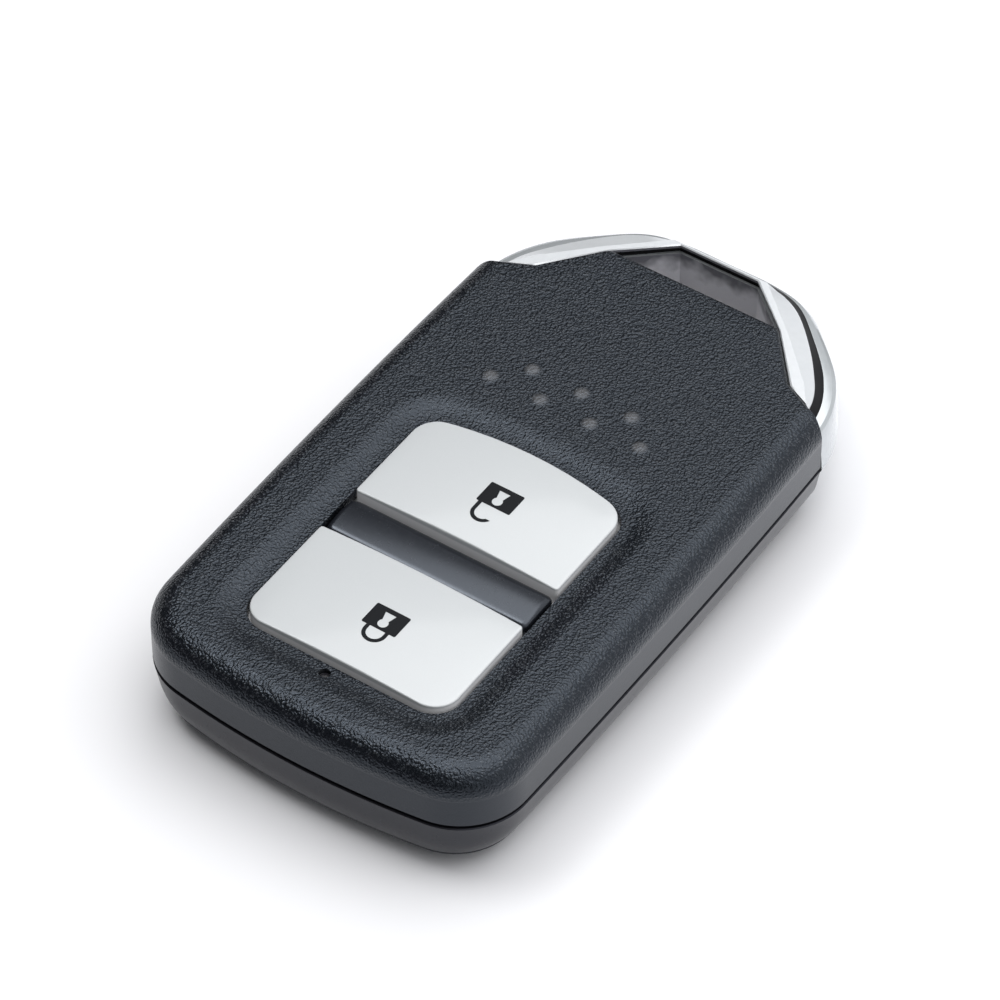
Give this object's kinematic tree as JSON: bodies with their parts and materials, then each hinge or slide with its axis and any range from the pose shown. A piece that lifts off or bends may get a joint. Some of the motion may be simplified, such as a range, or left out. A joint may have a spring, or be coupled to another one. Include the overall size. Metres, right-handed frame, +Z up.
{
  "type": "car key fob",
  "caption": "Remote car key fob: rounded two-part case with lock and unlock push buttons, an indicator light, and a pull-out emergency key whose chromed loop takes a key ring.",
  "frame": {"origin": "middle of the bounding box's base, on the flat of the case's back", "axes": "+X across the fob, to the right with the buttons up and the loop away; +Y along the fob from its near end to the chromed key loop; +Z up, out of the button face"},
  "size_m": [0.0394, 0.0732, 0.0136],
  "materials": {
    "case_grained": "fine leather grain, satin",
    "case_smooth": "smooth satin",
    "seal_rubber": "matt",
    "button_silver": "pearl silver lacquer, gloss",
    "symbol_ink": "printed ink, satin",
    "bar_black": "satin black",
    "membrane_rubber": "matt silicone",
    "light_pipe_clear": "clear red-tinted acrylic",
    "board_green": "solder mask, satin",
    "switch_can": "stamped steel can",
    "switch_stem_plastic": "moulded",
    "led_body": "moulded, gloss",
    "cell_steel": "fine turned steel",
    "holder_plastic": "moulded",
    "contact_brass": "plated spring strip",
    "contact_steel": "plated spring strip",
    "chip_black": "moulded epoxy",
    "crystal_steel": "drawn can",
    "ferrite": "sintered ferrite",
    "winding_copper": "enamelled copper",
    "capacitor_ceramic": "ceramic",
    "channel_cover_plastic": "moulded",
    "head_chrome": "mirror chrome on cast zinc",
    "inlay_black": "satin black",
    "cover_plate_chrome": "mirror chrome",
    "carrier_plastic": "glass-filled, satin",
    "blade_steel": "milled and brushed",
    "pin_steel": "ground",
    "latch_plastic": "moulded, ribbed",
    "spring_steel": "drawn wire"
  },
  "bodies": {
    "housing": {"lower_case": "case_smooth", "case_seal": "seal_rubber", "circuit_board": "board_green", "unlock_switch_body": "switch_can", "lock_switch_body": "switch_can", "indicator_led": "led_body", "coin_cell": "cell_steel", "battery_holder": "holder_plastic", "battery_contact_negative": "contact_brass", "battery_contact_positive": "contact_steel", "controller_chip": "chip_black", "radio_chip": "chip_black", "crystal_can": "crystal_steel", "antenna_core": "ferrite", "antenna_winding": "winding_copper", "chip_capacitors": "capacitor_ceramic", "blade_channel_cover": "channel_cover_plastic", "latch_spring": "spring_steel"},
    "cover": {"upper_case": "case_grained", "divider_bar": "bar_black", "button_membrane": "membrane_rubber", "indicator_light_pipe": "light_pipe_clear"},
    "unlock_key": {"unlock_button": "button_silver", "unlock_symbol": "symbol_ink"},
    "lock_key": {"lock_button": "button_silver", "lock_symbol": "symbol_ink"},
    "unlock_stem": {"unlock_switch_stem": "switch_stem_plastic"},
    "lock_stem": {"lock_switch_stem": "switch_stem_plastic"},
    "emergency_key": {"key_head_frame": "head_chrome", "key_head_inlay": "inlay_black", "key_head_cover": "cover_plate_chrome", "key_carrier": "carrier_plastic", "key_blade": "blade_steel", "blade_pin": "pin_steel"},
    "latch": {"release_latch": "latch_plastic"}
  },
  "joints": [
    {"name": "cover_lift", "type": "slide", "parent": "housing", "child": "cover", "axis": [0, 0, 1], "range_m": [0, 0.02]},
    {"name": "unlock_press", "type": "slide", "parent": "cover", "child": "unlock_key", "axis": [0, 0, -1], "range_m": [0, 0.00045], "stiffness_N_per_m": 4000, "deforming": ["button_membrane"]},
    {"name": "lock_press", "type": "slide", "parent": "cover", "child": "lock_key", "axis": [0, 0, -1], "range_m": [0, 0.00045], "stiffness_N_per_m": 4000, "deforming": ["button_membrane"]},
    {"name": "unlock_stem_press", "type": "slide", "parent": "housing", "child": "unlock_stem", "axis": [0, 0, -1], "range_m": [0, 0.00045]},
    {"name": "lock_stem_press", "type": "slide", "parent": "housing", "child": "lock_stem", "axis": [0, 0, -1], "range_m": [0, 0.00045]},
    {"name": "key_pull", "type": "slide", "parent": "housing", "child": "emergency_key", "axis": [0, 1, 0], "range_m": [0, 0.06]},
    {"name": "latch_slide", "type": "slide", "parent": "housing", "child": "latch", "axis": [1, 0, 0], "range_m": [0, 0.002], "stiffness_N_per_m": 500, "deforming": ["latch_spring"]}
  ],
  "couplings": [
    {"joint": "unlock_stem_press", "follows": "unlock_press", "ratio": 1},
    {"joint": "lock_stem_press", "follows": "lock_press", "ratio": 1}
  ]
}
